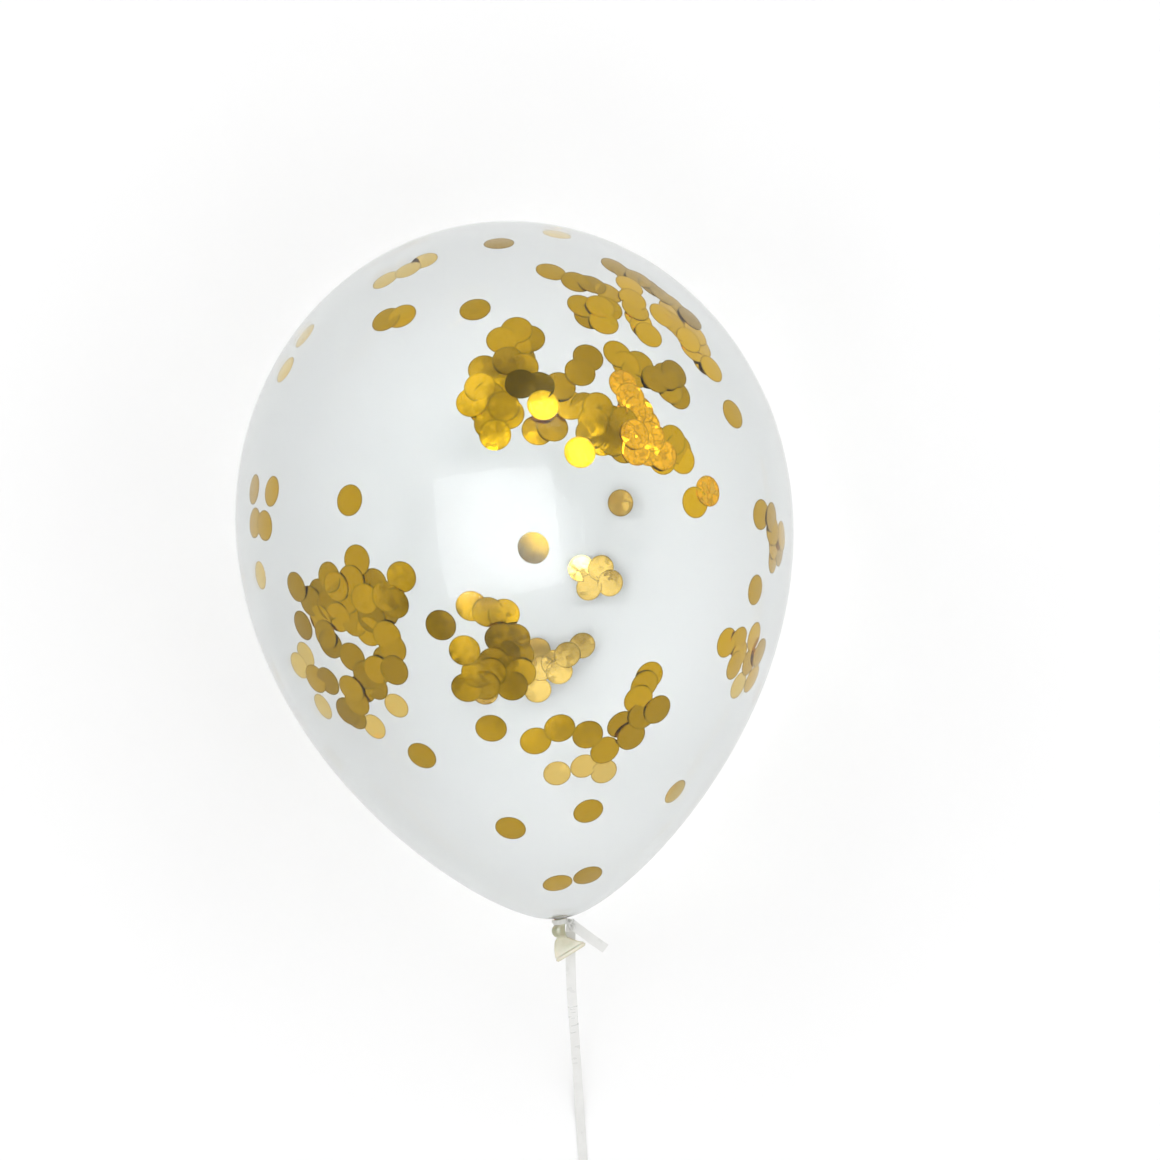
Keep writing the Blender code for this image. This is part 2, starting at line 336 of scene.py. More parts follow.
# %% Long ribbon
RIBBON_ROUTE = (
    (0.0046, -0.2095, 0.1320),
    (0.0037, -0.2180, 0.1317),
    (0.0028, -0.2260, 0.1300),
    (0.0021, -0.2340, 0.1262),
    (0.0015, -0.2415, 0.1200),
    (0.0011, -0.2480, 0.1110),
    (0.0007, -0.2535, 0.0995),
    (0.0003, -0.2585, 0.0865),
    (-0.0001, -0.2635, 0.0725),
    (-0.0005, -0.2690, 0.0585),
    (-0.0009, -0.2755, 0.0445),
    (-0.0015, -0.2835, 0.0315),
    (-0.0020, -0.2930, 0.0200),
    (-0.0026, -0.3040, 0.0110),
    (-0.0033, -0.3160, 0.0055),
    (-0.0039, -0.3290, 0.0030),
    (-0.0045, -0.3420, 0.0027),
    (-0.0050, -0.3540, 0.0027),
    (-0.0054, -0.3620, 0.0027),
)
ROUTE_STEPS = 6
SIDEWAYS = (1, 0, 0)
route_top = RIBBON_ROUTE[0][2]
route_floor = RIBBON_ROUTE[-1][2]
strip_floor = RIBBON_THICKNESS / 2 + RIB_DEPTH


def smooth_route(points, steps):
    """Points on a Catmull-Rom curve through the route, with this many steps between two of them."""
    knots = [Vector(point) for point in points]
    knots = [2 * knots[0] - knots[1], *knots, 2 * knots[-1] - knots[-2]]
    route = []
    for a, b, c, d in zip(knots, knots[1:], knots[2:], knots[3:]):
        for i in range(steps):
            t = i / steps
            route.append(0.5 * (2 * b + (c - a) * t + (2 * a - 5 * b + 4 * c - d) * t ** 2
                                + (3 * b - a - 3 * c + d) * t ** 3))
    return route + [knots[-2]]


def laid(point):
    """The place of the strip's middle at a point of the route, lowered more the nearer the ground."""
    share = (route_top - point.z) / (route_top - route_floor)
    return Vector((point.x, point.y, max(point.z - (route_floor - strip_floor) * share, strip_floor)))


ribbon_places = [laid(point) for point in smooth_route(RIBBON_ROUTE, ROUTE_STEPS)]
ribbon = joined("ribbon_strip", [strip_mesh(ribbon_places, SIDEWAYS)])
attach(ribbon, "root")
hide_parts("ribbon")

# %% [markdown]
# ## The tie
#
# The ribbon goes twice round the stem, where it bunches up into a thin band, and is knotted beside
# it. The short end is cut off square and stands away from the knot. A cloth simulation could tie it,
# but at a few millimetres the result would be hard to steer. So the bands are helix turns, the knot
# is a small trefoil of the same bunched ribbon, and both come from the strip tree.

# %% Tie
BUNCHED_WIDTH = 1.5 * MM
BUNCHED_THICKNESS = 0.8 * MM
TIE_TOP = -202.0 * MM
TIE_PITCH = 1.0 * MM
TIE_TURNS = 2
TIE_TURN_STEPS = 40
TIE_BAND_RADIUS = 3.45 * MM
TIE_BAND_SWELL = 0.25 * MM
TIE_KNOT_CENTRE = Vector((0.0056, -0.2051, 0.1369))
TIE_KNOT_HALF = Vector((0.0024, 0.0034, 0.0040))
TREFOIL_STEPS = 64
TREFOIL_FLATNESS = 0.5
TREFOIL_REACH = 0.75
END_LENGTH = 21.5 * MM
END_ANGLE = radians(-43)
END_CURL = 3.0 * MM
END_STEPS = 16
LEAD_STEPS = 4
ALONG = (0, 1, 0)


def wrap_places():
    """The turns round the stem."""
    places = []
    steps = TIE_TURN_STEPS * TIE_TURNS
    for i in range(steps + 1):
        turn = 2 * pi * TIE_TURNS * i / steps
        radius = TIE_BAND_RADIUS + TIE_BAND_SWELL * sin(turn / 2)
        y = TIE_TOP - TIE_PITCH * turn / (2 * pi) - BUNCHED_WIDTH / 4
        places.append((radius * cos(turn), y, AXIS_HEIGHT + radius * sin(turn)))
    return places


def knot_mesh(centre, half):
    """An overhand knot drawn tight: bunched ribbon along a trefoil, within this half size."""
    places = []
    for i in range(TREFOIL_STEPS):
        turn = 2 * pi * i / TREFOIL_STEPS
        x = -sin(3 * turn) * TREFOIL_FLATNESS
        y = (cos(turn) - 2 * cos(2 * turn)) / 3 * TREFOIL_REACH
        z = (sin(turn) + 2 * sin(2 * turn)) / 3 * TREFOIL_REACH
        places.append((centre.x + half.x * x, centre.y + half.y * y, centre.z + half.z * z))
    return strip_mesh(places, ALONG, BUNCHED_WIDTH, BUNCHED_THICKNESS, closed=True)


def free_end_places():
    """The short end, which lifts a little and then droops."""
    along = Vector((cos(END_ANGLE), sin(END_ANGLE), 0))
    places = []
    for i in range(END_STEPS + 1):
        share = i / END_STEPS
        lift = END_CURL * (sin(pi * share) - share ** 2) / 2
        places.append(TIE_KNOT_CENTRE + along * END_LENGTH * share + Vector((0, 0, lift)))
    return places


tie_lead = [TIE_KNOT_CENTRE, *ribbon_places[:2]]
end_across = (sin(-END_ANGLE), cos(END_ANGLE), 0)
tie = joined("ribbon_knot", [
    strip_mesh(wrap_places(), ALONG, BUNCHED_WIDTH, BUNCHED_THICKNESS),
    knot_mesh(TIE_KNOT_CENTRE, TIE_KNOT_HALF),
    strip_mesh(free_end_places(), end_across),
    strip_mesh(smooth_route(tie_lead, LEAD_STEPS), SIDEWAYS),
])
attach(tie, "root")
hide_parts("ribbon_tie")
print("tie:", len(tie.data.polygons), "faces")

# %% [markdown]
# ## The hand loop
#
# Beyond the picture's edge the ribbon ends in a knot and a loop for the hand, which lies on the
# ground on its edge. Its outline is a drop, the shape that a springy strip takes when its two ends
# are held together, so a formula gives it and no simulation is needed.

# %% Hand loop
LOOP_LENGTH = 46 * MM
LOOP_WIDTH = 26 * MM
LOOP_FULLNESS = 0.65
LOOP_OPENING = radians(12)
LOOP_STEPS = 60
LOOP_KNOT_HALF = Vector((0.0036, 0.0046, 0.0026))
CLEARANCE = 0.3 * MM
UPRIGHT = (0, 0, 1)

route_end = Vector(RIBBON_ROUTE[-1])
route_way = (route_end - Vector(RIBBON_ROUTE[-2])).normalized()
loop_knot_centre = route_end + route_way * (CLEARANCE + LOOP_KNOT_HALF.y + RIBBON_WIDTH / 2)


def loop_places():
    """A drop seen from above, from the knot out to the round end and back."""
    places = []
    for i in range(LOOP_STEPS + 1):
        turn = LOOP_OPENING + (2 * pi - 2 * LOOP_OPENING) * i / LOOP_STEPS
        x = LOOP_WIDTH * LOOP_FULLNESS * sin(turn) * sin(turn / 2)
        y = -LOOP_LENGTH * (1 - cos(turn)) / 2
        height = RIBBON_WIDTH / 2 + CLEARANCE / 3
        places.append((loop_knot_centre.x + x, loop_knot_centre.y + y, height))
    return places


loop_lead = [ribbon_places[-1], (ribbon_places[-1] + loop_knot_centre) / 2, loop_knot_centre]
loop = joined("hand_loop", [
    strip_mesh(loop_places(), UPRIGHT),
    knot_mesh(loop_knot_centre, LOOP_KNOT_HALF),
    strip_mesh(smooth_route(loop_lead, LEAD_STEPS), SIDEWAYS),
])
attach(loop, "root")
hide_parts("ribbon_loop")
print("loop:", len(loop.data.polygons), "faces")

# %% [markdown]
# ## The film
#
# Blown up, the latex is a film a few hundredths of a millimetre thick and clear as glass, with a
# faint milky haze. It could be a single sheet that is partly see-through, but the film mirrors and
# darkens most at its rim, as thin glass does. So it is drawn as a closed shell with an outer and an
# inner wall, because glass in Blender bends light at each surface it meets, and a shell has both.
# At 0.3 mm it is thicker than the real one, so that the two walls stay apart in every copy of the
# mesh. The unstretched neck keeps the milky cream of raw latex.


# %% Film material
# Glass that hardly bends light. To the eye it is an almost white veil, a little greyer towards the
# rim where the eye looks through more of it, and hardly clouded: its clouds are 11 cm wide. The
# blurred coat mirrors a lamp as a soft white patch.
def make_film_material():
    """Stretched clear latex."""
    material, tree = new_material("stretched_clear_latex_film")
    place = add_node(tree, "ShaderNodeTexCoord").outputs["Object"]
    cloud = add_node(tree, "ShaderNodeTexNoise", {"Vector": place, "Scale": 9.0})
    tint = add_node(tree, "ShaderNodeMix", {
        "Factor": cloud, "A": colour("#E9EBEB"), "B": colour("#EEEFEF"),
    }, data_type="RGBA")
    shader = add_node(tree, "ShaderNodeBsdfPrincipled", {
        "Base Color": tint, "Roughness": 0.02, "IOR": 1.1, "Transmission Weight": 1.0,
        "Coat Weight": 0.25, "Coat Roughness": 0.2, "Coat IOR": 1.5,
    })
    add_node(tree, "ShaderNodeOutputMaterial", {"Surface": shader})
    return material


FILM = make_film_material()
print("film:", FILM.name)


# %% Latex material
# Milky cream rubber that light sinks into, with clouds 4.5 mm wide and puckers 1.1 mm wide. To the
# eye it is a warm, solid end to the clear balloon, darker in the knot, where several layers lie on
# each other.
def make_latex_material():
    """Unstretched latex."""
    material, tree = new_material("unstretched_milky_latex")
    place = add_node(tree, "ShaderNodeTexCoord").outputs["Object"]
    cloud = add_node(tree, "ShaderNodeTexNoise", {"Vector": place, "Scale": 220.0})
    cream = add_node(tree, "ShaderNodeMix", {
        "Factor": cloud, "A": colour("#BDBAA0"), "B": colour("#D5D2BE"),
    }, data_type="RGBA")
    y = add_node(tree, "ShaderNodeSeparateXYZ", {"Vector": place}).outputs["Y"]
    knot_y = -TAPER_LENGTH - STEM_LENGTH - KNOT_LENGTH / 2
    past = add_node(tree, "ShaderNodeMath", {0: y, 1: knot_y}, operation="SUBTRACT")
    away = add_node(tree, "ShaderNodeMath", {0: past}, operation="ABSOLUTE")
    knotted = add_node(tree, "ShaderNodeMapRange", {
        "Value": away, "From Min": KNOT_LENGTH * 0.3, "From Max": KNOT_LENGTH * 0.6, "To Min": 1.0,
        "To Max": 0.0,
    })
    layered = add_node(tree, "ShaderNodeMix", {
        "Factor": knotted, "A": cream, "B": colour("#A6A588"),
    }, data_type="RGBA")
    pucker = add_node(tree, "ShaderNodeTexNoise", {"Vector": place, "Scale": 900.0})
    bump = add_node(tree, "ShaderNodeBump", {"Height": pucker, "Distance": 0.08 * MM})
    dull = add_node(tree, "ShaderNodeMapRange", {
        "Value": cloud, **NOISE_SPAN, "To Min": 0.31, "To Max": 0.45,
    })
    shader = add_node(tree, "ShaderNodeBsdfPrincipled", {
        "Base Color": layered, "Normal": bump, "Roughness": dull, "IOR": 1.5,
        "Subsurface Weight": 0.25, "Subsurface Scale": 2.0 * MM,
    })
    add_node(tree, "ShaderNodeOutputMaterial", {"Surface": shader})
    return material


LATEX = make_latex_material()
print("latex:", LATEX.name)

# %% [markdown]
# The body is round about its axis, so its shape is one outline: half an ellipse for the crown and
# one Bezier curve from the widest girth down to the stem. Rings of points along that outline are
# skinned with quads. A Screw modifier could spin the outline, but it couldn't press the body flat
# where it rests. Below the stem the rings are flattened and leaned one by one, which makes the knot
# and the little fan of the tail. The last rings roll over the lip and go back inside, so the mouth
# is a real opening.

# %% Outline of the body
HALVINGS = 30


def bezier(a, b, c, d, t):
    """A number on the cubic curve with these four handles."""
    return (1 - t) ** 3 * a + 3 * (1 - t) ** 2 * t * b + 3 * (1 - t) * t ** 2 * c + t ** 3 * d


def taper_point(t):
    """How far down the taper, and the radius there, for t from 0 at the girth to 1 at the stem."""
    along = bezier(0.0, GIRTH_HANDLE, TAPER_LENGTH, TAPER_LENGTH, t)
    return along, bezier(BODY_RADIUS, BODY_RADIUS, SHOULDER_HANDLE, STEM_RADIUS + SHOULDER_FILLET, t)


def last_where(holds, low, high):
    """The last number from low to high for which something still holds, by halving the gap."""
    for _ in range(HALVINGS):
        middle = (low + high) / 2
        if holds(middle):
            low = middle
        else:
            high = middle
    return low


def body_radius(y):
    """The body's radius at a place along its axis."""
    if y >= 0:
        return BODY_RADIUS * sqrt(max(1 - (y / CROWN_LENGTH) ** 2, 0.0))
    return taper_point(last_where(lambda t: taper_point(t)[0] < -y, 0.0, 1.0))[1]


for y in (140, 70, 0, -70, -140, -195):
    print(f"radius at {y:5d} mm: {1000 * body_radius(y * MM):6.1f} mm")

# %% Rings of the body
SKIN_SIDES = 144
CROWN_RINGS = 44
TAPER_RINGS = 72
FLAT_EDGE = 0.8 * MM
FOUR_HEIGHTS = 1.1


def rested(height, floor):
    """A height kept over the floor, with a soft edge round the flat spot.

    That edge lifts the whole body, at its top by FLAT_EDGE squared over about four times the
    balloon's height. The last term takes this off again."""
    over = height - floor
    soft = (over + sqrt(over * over + FLAT_EDGE * FLAT_EDGE)) / 2
    return floor + soft - FLAT_EDGE * FLAT_EDGE / FOUR_HEIGHTS


def round_loop(y, radius, floor):
    """A ring of the body, flattened where it would sink below the floor height."""
    loop = []
    for i in range(SKIN_SIDES):
        turn = 2 * pi * i / SKIN_SIDES
        loop.append((radius * cos(turn), y, rested(AXIS_HEIGHT + radius * sin(turn), floor)))
    return loop


def body_outline():
    """Pairs of place along the axis and radius, from the crown's pole down to the stem."""
    outline = []
    for i in range(1, CROWN_RINGS):
        turn = pi / 2 * i / CROWN_RINGS
        outline.append((CROWN_LENGTH * cos(turn), BODY_RADIUS * sin(turn)))
    for i in range(TAPER_RINGS + 1):
        along, radius = taper_point(i / TAPER_RINGS)
        outline.append((-along, radius))
    return outline


print("body:", len(body_outline()), "rings")

# %% Rings of the neck
STEM_RINGS = 3
KNOT_RINGS = 18
KNOT_RADIUS = 3.4 * MM
KNOT_SHIFT = -1.3 * MM
KNOT_FULLNESS = 0.6
FAN_RINGS = 16
FAN_LENGTH = 7.3 * MM
FAN_SHIFT = 1.5 * MM
FAN_LEAN = radians(25)
FAN_HALF_THICKNESS = 0.6 * MM
FAN_REACH = 0.94
FAN_OPENING_SPEED = 5
THROAT_HALF_WIDTH = 3.1 * MM
LIP_HALF_WIDTH = 8.6 * MM
LIP_THICKNESS = 2.2 * MM
LIP_TURNS = range(15, 170, 15)
MOUTH_RINGS = 5
MOUTH_DEPTH = 5.0 * MM
MOUTH_EDGE = 0.9 * MM
MOUTH_INSET = 1.0 * MM
MOUTH_NARROWING = 3.4 * MM
MOUTH_EDGE_FLATNESS = 0.04
MOUTH_FLATNESS = 0.035


def neck_steps():
    """The stem, the knot, the fan, the rolled lip and the mouth, as one walk down the neck.

    Each step has its length, the ring's half width and flatness, and how it leans and shifts."""
    steps = []

    def step(length, half_width, flatness=1.0, lean=0.0, shift=0.0):
        steps.append((length, half_width, flatness, lean, shift))

    step(SHOULDER_FILLET * 0.5, STEM_RADIUS + SHOULDER_FILLET * 0.3)
    step(SHOULDER_FILLET * 0.5, STEM_RADIUS)
    for _ in range(STEM_RINGS):
        step((STEM_LENGTH - SHOULDER_FILLET) / STEM_RINGS, STEM_RADIUS)
    for i in range(1, KNOT_RINGS + 1):
        share = i / KNOT_RINGS
        bulge = sin(pi * share) ** KNOT_FULLNESS if share < 1 else 0.0
        half_width = STEM_RADIUS + (KNOT_RADIUS - STEM_RADIUS) * bulge
        step(KNOT_LENGTH / KNOT_RINGS, half_width, shift=KNOT_SHIFT * bulge)
    for i in range(1, FAN_RINGS + 1):
        share = i / FAN_RINGS
        half_width = THROAT_HALF_WIDTH + (LIP_HALF_WIDTH - THROAT_HALF_WIDTH) * share * FAN_REACH
        half_width = STEM_RADIUS + (half_width - STEM_RADIUS) * min(1.0, share * FAN_OPENING_SPEED)
        half_depth = FAN_HALF_THICKNESS + (STEM_RADIUS - FAN_HALF_THICKNESS) * (1 - share) ** 2
        flatness = half_depth / half_width
        step(FAN_LENGTH / FAN_RINGS, half_width, flatness, FAN_LEAN * share, FAN_SHIFT * share)
    for turn in LIP_TURNS:
        square = cos(radians(turn)) ** 2
        half_depth = LIP_THICKNESS / 2 * sin(radians(turn)) + FAN_HALF_THICKNESS * square
        half_width = LIP_HALF_WIDTH - LIP_THICKNESS / 3 * square
        step(LIP_THICKNESS / len(LIP_TURNS), half_width, half_depth / half_width, FAN_LEAN, FAN_SHIFT)
    step(0.0, LIP_HALF_WIDTH - MOUTH_EDGE, MOUTH_EDGE_FLATNESS, FAN_LEAN, FAN_SHIFT)
    for i in range(1, MOUTH_RINGS + 1):
        half_width = LIP_HALF_WIDTH - MOUTH_INSET - MOUTH_NARROWING * i / MOUTH_RINGS
        step(-MOUTH_DEPTH / MOUTH_RINGS, half_width, MOUTH_FLATNESS, FAN_LEAN, FAN_SHIFT)
    return steps


def neck_loops():
    """The rings of points that the walk down the neck leaves behind."""
    loops, x, y = [], 0.0, -TAPER_LENGTH
    for length, half_width, flatness, lean, shift in neck_steps():
        x += length * sin(lean)
        y -= length * cos(lean)
        loop = []
        for i in range(SKIN_SIDES):
            turn = 2 * pi * i / SKIN_SIDES
            across = half_width * cos(turn)
            height = AXIS_HEIGHT + half_width * flatness * sin(turn)
            loop.append((x + shift + across * cos(lean), y + across * sin(lean), height))
        loops.append(loop)
    return loops


print("neck:", len(neck_steps()), "rings")

# %% The skin
WALL = 0.3 * MM
NECK_START = -TAPER_LENGTH + 0.2 * MM


def skin_rows(bm, loops, poles):
    """Skins rows of points. poles are the two end points that close it."""
    rows = [[bm.verts.new(place) for place in loop] for loop in loops]
    for near, far in zip(rows, rows[1:]):
        for i in range(len(near)):
            j = (i + 1) % len(near)
            bm.faces.new((near[i], near[j], far[j], far[i]))
    for row, pole in ((rows[0], poles[0]), (rows[-1], poles[1])):
        tip = bm.verts.new(pole)
        for i in range(len(row)):
            bm.faces.new((row[i], row[(i + 1) % len(row)], tip))


def make_skin():
    """The outer wall with its neck, and the inner wall, which faces the hollow."""
    outline = body_outline()
    outer = [round_loop(y, radius, 0.0) for y, radius in outline]
    neck = neck_loops()
    mouth_end = sum((Vector(place) for place in neck[-1]), Vector()) / SKIN_SIDES
    bm = bmesh.new()
    skin_rows(bm, outer + neck, ((0, CROWN_LENGTH, AXIS_HEIGHT), mouth_end))
    for face in bm.faces:
        if face.calc_center_median().y < NECK_START:
            face.material_index = 1
    bmesh.ops.recalc_face_normals(bm, faces=bm.faces)
    outer_faces = set(bm.faces)
    inner = [round_loop(y - WALL * max(y, 0.0) / CROWN_LENGTH, max(radius - WALL, WALL), WALL)
             for y, radius in outline if y > -TAPER_LENGTH + 2 * WALL]
    ends = (CROWN_LENGTH - WALL, -TAPER_LENGTH + WALL)
    skin_rows(bm, inner, [(0, y, AXIS_HEIGHT) for y in ends])
    hollow = [face for face in bm.faces if face not in outer_faces]
    bmesh.ops.recalc_face_normals(bm, faces=hollow)
    bmesh.ops.reverse_faces(bm, faces=hollow)
    mesh = bpy.data.meshes.new("balloon_skin")
    bm.to_mesh(mesh)
    bm.free()
    mesh.shade_smooth()
    skin = add_object("balloon_skin", mesh, FILM)
    mesh.materials.append(LATEX)
    return skin


skin = make_skin()
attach(skin, "root")
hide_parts("balloon")
print("skin:", len(skin.data.polygons), "faces")

# %% [markdown]
# ## The confetti
#
# Each piece is a disc of metallised plastic film, 15 mm across. Static holds the discs flat against
# the inside of the latex, alone or in heaps a few layers deep.
#
# Gold foil has little colour of its own. It shows the room in gold, and each disc's colour also
# carries a painted reflection of its own, from brown to bright gold.
# A crumpled disc is made of facets that each mirror another place, with broken darker lines of
# painted shade where they meet. Real creases are too fine to show, so both are drawn coarser,
# about 3 mm apart.

# %% Gold foil
FACET_SCALE = 300.0
FACET_WARP = 4.0 * MM
FACET_TILT = 0.6
CREASE_WIDTH = 0.16
CREASE_SHADE_STRENGTH = 0.4
CREASE_BREAKS = (0.42, 0.56)
RIM_SHADOW_START = 0.88
RIM_SHADOW_STRENGTH = 0.4


def crease_shade_lines(tree, cells, stir, crumple):
    """How strong the painted crease shade is, broken up and only on crumpled discs."""
    seams = add_node(tree, "ShaderNodeTexVoronoi", cells, feature="DISTANCE_TO_EDGE")
    line = add_node(tree, "ShaderNodeMapRange", {
        "Value": seams, "From Max": CREASE_WIDTH, "To Min": CREASE_SHADE_STRENGTH, "To Max": 0.0,
    })
    broken = add_node(tree, "ShaderNodeMapRange", {
        "Value": stir, "From Min": CREASE_BREAKS[0], "From Max": CREASE_BREAKS[1],
    })
    drawn = add_node(tree, "ShaderNodeMath", {0: line, 1: crumple}, operation="MULTIPLY")
    return add_node(tree, "ShaderNodeMath", {0: drawn, 1: broken}, operation="MULTIPLY")


def facet_normal(tree, cells, bump, crumple):
    """The wrinkled surface's normal, tilted another way on each facet of a crumpled disc."""
    facets = add_node(tree, "ShaderNodeTexVoronoi", cells)
    middle = {0: facets.outputs["Color"], 1: (0.5, 0.5, 0.5)}
    way = add_node(tree, "ShaderNodeVectorMath", middle, operation="SUBTRACT")
    much = add_node(tree, "ShaderNodeMath", {0: crumple, 1: FACET_TILT}, operation="MULTIPLY")
    tilt = add_node(tree, "ShaderNodeVectorMath", {0: way, "Scale": much}, operation="SCALE")
    tilted = add_node(tree, "ShaderNodeVectorMath", {0: bump, 1: tilt})
    return add_node(tree, "ShaderNodeVectorMath", {0: tilted}, operation="NORMALIZE")


# A warm mirror, a little blurred, with wrinkles 4 mm apart. To the eye the discs go from brown gold
# to yellow gold with what they mirror, and each disc's colour adds a painted reflection of its own.
# Crumpled ones glitter orange, with a painted orange highlight and painted shade in their creases.
# Ones on the far side look paler through the film and get a painted haze, and a thin dark rim of
# painted shadow parts each disc from the one below it.
def make_foil_material():
    """Metallised gold film with fine wrinkles from handling."""
    material, tree = new_material("metallised_gold_foil")
    place = add_node(tree, "ShaderNodeTexCoord").outputs["Object"]
    tone, crumple, faded, rim = (
        add_node(tree, "ShaderNodeAttribute", attribute_name=name).outputs["Fac"]
        for name in ("tone", "crumple", "faded", "rim")
    )
    stir = add_node(tree, "ShaderNodeTexNoise", {"Vector": place, "Scale": FACET_SCALE}).outputs
    warp = {0: stir["Color"], "Scale": FACET_WARP}
    shift = add_node(tree, "ShaderNodeVectorMath", warp, operation="SCALE")
    bent = add_node(tree, "ShaderNodeVectorMath", {0: place, 1: shift})
    cells = {"Vector": bent, "Scale": FACET_SCALE}
    # A painted shadow: each disc darkens to a thin rim, for the shade between stacked discs.
    edge = add_node(tree, "ShaderNodeMapRange", {
        "Value": rim, "From Min": RIM_SHADOW_START, "To Max": RIM_SHADOW_STRENGTH,
    })
    gold = colour("#685306")
    for share, hex_value in (
        # painted reflection: each disc's brightness of gold
        (tone, "#EABC10"),
        # painted highlight: crumpled discs are painted a brighter orange for their glitter
        (crumple, "#FFC02A"),
        # painted shade along the creases of crumpled discs
        (crease_shade_lines(tree, cells, stir["Fac"], crumple), "#8A5C06"),
        # painted haze: far discs painted paler, for the film's veil over them
        (faded, "#F6DC96"),
        # painted shadow round each disc's rim
        (edge, "#4E4410"),
    ):
        gold = add_node(tree, "ShaderNodeMix", {
            "Factor": share, "A": gold, "B": colour(hex_value),
        }, data_type="RGBA")
    wrinkle = add_node(tree, "ShaderNodeTexNoise", {"Vector": place, "Scale": 260.0, "Detail": 3.0})
    bump = add_node(tree, "ShaderNodeBump", {
        "Height": wrinkle, "Strength": 0.25, "Distance": 0.2 * MM,
    })
    dull = add_node(tree, "ShaderNodeMapRange", {
        "Value": wrinkle, **NOISE_SPAN, "To Min": 0.12, "To Max": 0.2,
    })
    shader = add_node(tree, "ShaderNodeBsdfPrincipled", {
        "Base Color": gold, "Normal": facet_normal(tree, cells, bump, crumple), "Metallic": 1.0,
        "Roughness": dull,
    })
    add_node(tree, "ShaderNodeOutputMaterial", {"Surface": shader})
    return material


FOIL = make_foil_material()
print("foil:", FOIL.name)

# %% [markdown]
# Geometry Nodes put a disc on each place. The points carry the way that the disc faces and its
# finish. The tree bows the disc to the curve of the film, so that the layers of a heap lie in each
# other like bowls, leans each one a little its own way, and creases the crumpled ones, about 4 mm
# from crease to crease.

# %% Confetti tree
DISC_SIDES = 28
DISC_RINGS = 4
LEAN_SEED = 7


def bowed_disc(tree, given, place):
    """One thin disc, bowed like the film, that knows how near its rim each point is."""
    disc = add_node(tree, "GeometryNodeMeshCylinder", {
        "Vertices": DISC_SIDES, "Fill Segments": DISC_RINGS, "Radius": given["Radius"],
        "Depth": given["Thickness"],
    }, fill_type="TRIANGLE_FAN")
    flat = add_node(tree, "ShaderNodeVectorMath", {0: place, 1: (1, 1, 0)}, operation="MULTIPLY")
    drop = away = add_node(tree, "ShaderNodeVectorMath", {0: flat}, operation="LENGTH")
    for operation, other in (("POWER", 2.0), ("DIVIDE", given["Bow Radius"]), ("MULTIPLY", -0.5)):
        drop = add_node(tree, "ShaderNodeMath", {0: drop, 1: other}, operation=operation)
    down = add_node(tree, "ShaderNodeCombineXYZ", {"Z": drop})
    bowed = add_node(tree, "GeometryNodeSetPosition", {"Geometry": disc, "Offset": down})
    # How near the rim each point is, which the foil uses for its painted rim shadow.
    share = add_node(tree, "ShaderNodeMath", {0: away, 1: given["Radius"]}, operation="DIVIDE")
    return add_node(tree, "GeometryNodeStoreNamedAttribute", {
        "Geometry": bowed, "Name": "rim", "Value": share,
    }, data_type="FLOAT", domain="POINT")


def crease_push(tree, given, place, facing, crumple):
    """How far creases push each point of a crumpled disc in or out, as an offset."""
    deep = add_node(tree, "ShaderNodeTexNoise", {
        "Vector": place, "Scale": given["Crumple Scale"], "Detail": 1.0,
    })
    for operation, other in (
        ("SUBTRACT", 0.5), ("MULTIPLY", crumple), ("MULTIPLY", given["Crumple Depth"]),
    ):
        deep = add_node(tree, "ShaderNodeMath", {0: deep, 1: other}, operation=operation)
    return add_node(tree, "ShaderNodeVectorMath", {0: facing, "Scale": deep}, operation="SCALE")


def make_confetti_tree():
    """A thin bowed disc on each point, facing along the point's own direction."""
    tree = new_tree("confetti", (
        "Radius", "Thickness", "Bow Radius", "Lean", "Crumple Depth", "Crumple Scale",
    ))
    given = add_node(tree, "NodeGroupInput").outputs
    place = add_node(tree, "GeometryNodeInputPosition")
    facing, loose, crumple = (
        add_node(tree, "GeometryNodeInputNamedAttribute", {"Name": name}, data_type=data_type)
        for name, data_type in (("facing", "FLOAT_VECTOR"), ("loose", "FLOAT"), ("crumple", "FLOAT"))
    )
    wild = add_node(tree, "FunctionNodeRandomValue", {
        0: (-1, -1, -1), 1: (1, 1, 1), "Seed": LEAN_SEED,
    }, data_type="FLOAT_VECTOR")
    most = add_node(tree, "ShaderNodeMath", {0: loose, 1: given["Lean"]}, operation="MULTIPLY")
    lean = add_node(tree, "ShaderNodeVectorMath", {0: wild, "Scale": most}, operation="SCALE")
    leaned = add_node(tree, "ShaderNodeVectorMath", {0: facing, 1: lean})
    turn = add_node(tree, "FunctionNodeAlignRotationToVector", {"Vector": leaned}, axis="Z")
    discs = add_node(tree, "GeometryNodeInstanceOnPoints", {
        "Points": given["Geometry"], "Instance": bowed_disc(tree, given, place), "Rotation": turn,
    })
    real = add_node(tree, "GeometryNodeRealizeInstances", {"Geometry": discs})
    creased = add_node(tree, "GeometryNodeSetPosition", {
        "Geometry": real, "Offset": crease_push(tree, given, place, facing, crumple),
    })
    finish = add_node(tree, "GeometryNodeSetMaterial", {"Geometry": creased, "Material": FOIL})
    add_node(tree, "NodeGroupOutput", {"Geometry": finish})
    return tree


CONFETTI_TREE = make_confetti_tree()
print("confetti tree:", len(CONFETTI_TREE.nodes), "nodes")
